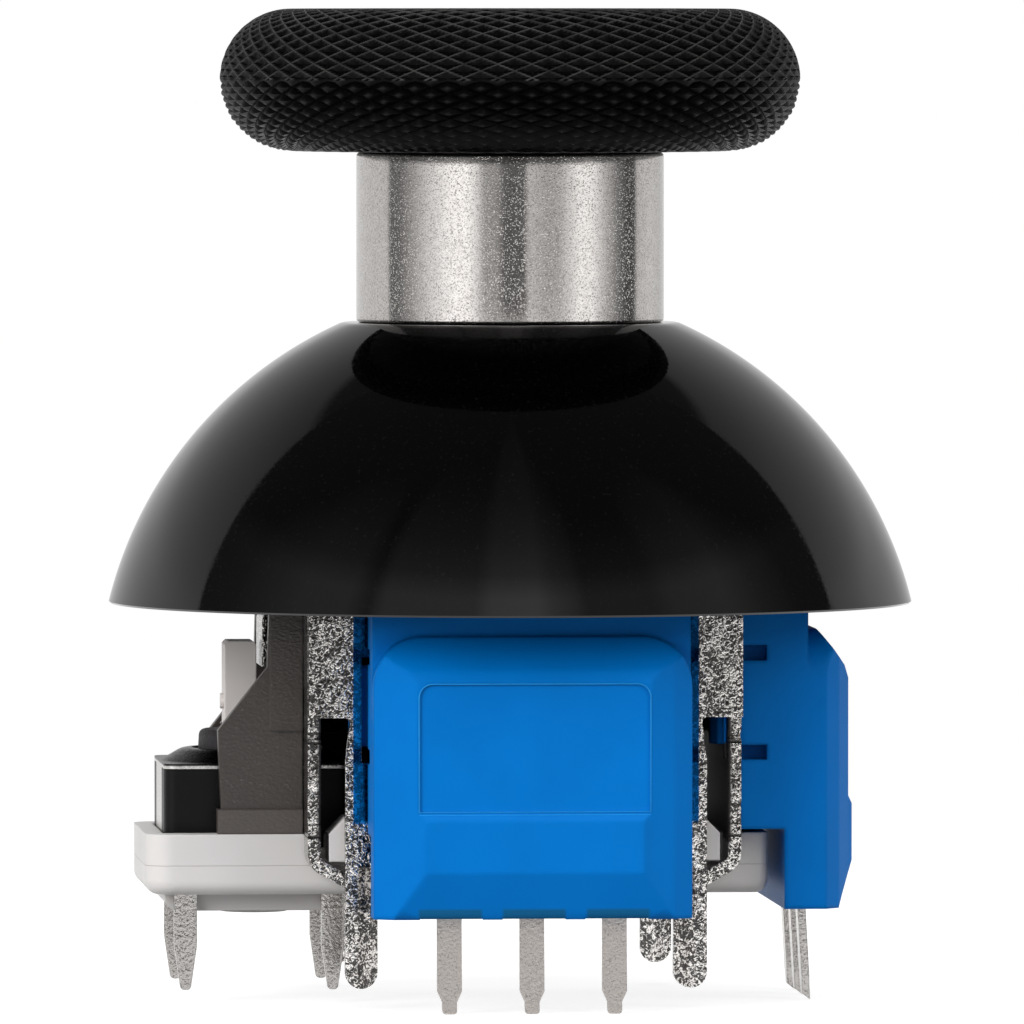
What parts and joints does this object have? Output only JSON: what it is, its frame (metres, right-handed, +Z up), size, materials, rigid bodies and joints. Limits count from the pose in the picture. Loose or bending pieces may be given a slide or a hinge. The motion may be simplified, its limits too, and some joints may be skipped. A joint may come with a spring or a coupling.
{
  "type": "analog thumbstick module",
  "caption": "Thumbstick module with a tall round thumb cap on a domed skirt, tilt sensors on adjoining sides of a folded metal frame, and a push switch in a side tray.",
  "frame": {"origin": "where the lever's axis at rest meets the seating plane, the plane of the circuit board's face that the base's feet rest on", "axes": "+Z up along the lever at rest, -Y towards the front sensor cover, +X towards the side sensor cover; the push switch is at -X"},
  "size_m": [0.0246, 0.0246, 0.0303],
  "materials": {
    "gloss_black_plastic": "polished",
    "satin_steel": "fine blasted",
    "black_anodised": "matt, knurled",
    "turned_steel": "turned",
    "dark_plastic": "moulded",
    "white_plastic": "moulded",
    "spring_steel": "bright drawn",
    "nickel_sheet": "nickel plated, lightly speckled",
    "light_grey_plastic": "moulded",
    "blue_plastic": "fine moulded texture",
    "magnet_nickel": "plated",
    "green_board": "glass laminate with solder mask",
    "chip_black": "moulded epoxy",
    "tinned_metal": "tinned",
    "switch_lid_metal": "stamped",
    "button_plastic": "rough moulded",
    "taupe_plastic": "grained"
  },
  "bodies": {
    "module": {"frame": "nickel_sheet", "base": "light_grey_plastic", "front_sensor_cover": "blue_plastic", "side_sensor_cover": "blue_plastic", "front_circuit_board": "green_board", "side_circuit_board": "green_board", "front_field_sensor": "chip_black", "side_field_sensor": "chip_black", "front_terminals": "tinned_metal", "side_terminals": "tinned_metal", "switch_body": "dark_plastic", "switch_cover": "switch_lid_metal", "switch_snap_dome": "spring_steel", "switch_terminals": "tinned_metal", "switch_bracket": "taupe_plastic", "return_spring": "spring_steel"},
    "press_slider": {"press_slider": "light_grey_plastic"},
    "lower_gimbal": {"lower_gimbal": "dark_plastic", "side_rotor": "white_plastic", "side_magnet": "magnet_nickel"},
    "lever": {"lever": "turned_steel", "dome_skirt": "gloss_black_plastic", "stem_sleeve": "satin_steel", "grip_ring": "black_anodised"},
    "upper_gimbal": {"upper_gimbal": "dark_plastic", "front_rotor": "white_plastic", "front_magnet": "magnet_nickel"},
    "spring_seat": {"spring_seat": "white_plastic"},
    "switch_button": {"switch_button": "button_plastic"}
  },
  "joints": [
    {"name": "click", "type": "hinge", "parent": "module", "child": "press_slider", "pos_m": [0.00735, 0, 0.0063], "axis": [0, -1, 0], "range_deg": [0, 1], "stiffness_Nm_per_rad": 1},
    {"name": "tilt_x", "type": "hinge", "parent": "press_slider", "child": "lower_gimbal", "pos_m": [0, 0, 0.0063], "axis": [1, 0, 0], "range_deg": [-18, 18], "stiffness_Nm_per_rad": 0.03},
    {"name": "tilt_y", "type": "hinge", "parent": "lower_gimbal", "child": "lever", "pos_m": [0, 0, 0.0063], "axis": [0, 1, 0], "range_deg": [-18, 18], "stiffness_Nm_per_rad": 0.03},
    {"name": "upper_rock", "type": "hinge", "parent": "module", "child": "upper_gimbal", "pos_m": [0, 0, 0.0063], "axis": [0, 1, 0], "range_deg": [-18, 18]},
    {"name": "seat_slide", "type": "slide", "parent": "module", "child": "spring_seat", "axis": [0, 0, -1], "range_m": [0, 0.00015], "deforming": ["return_spring"]},
    {"name": "button_slide", "type": "slide", "parent": "module", "child": "switch_button", "axis": [0, 0, -1], "range_m": [0, 0.0003], "deforming": ["switch_snap_dome"]}
  ],
  "couplings": [
    {"joint": "upper_rock", "follows": "tilt_y", "ratio": 1},
    {"joint": "seat_slide", "follows": "click", "m_per_rad": 0.00735},
    {"joint": "button_slide", "follows": "click", "m_per_rad": 0.0158}
  ]
}
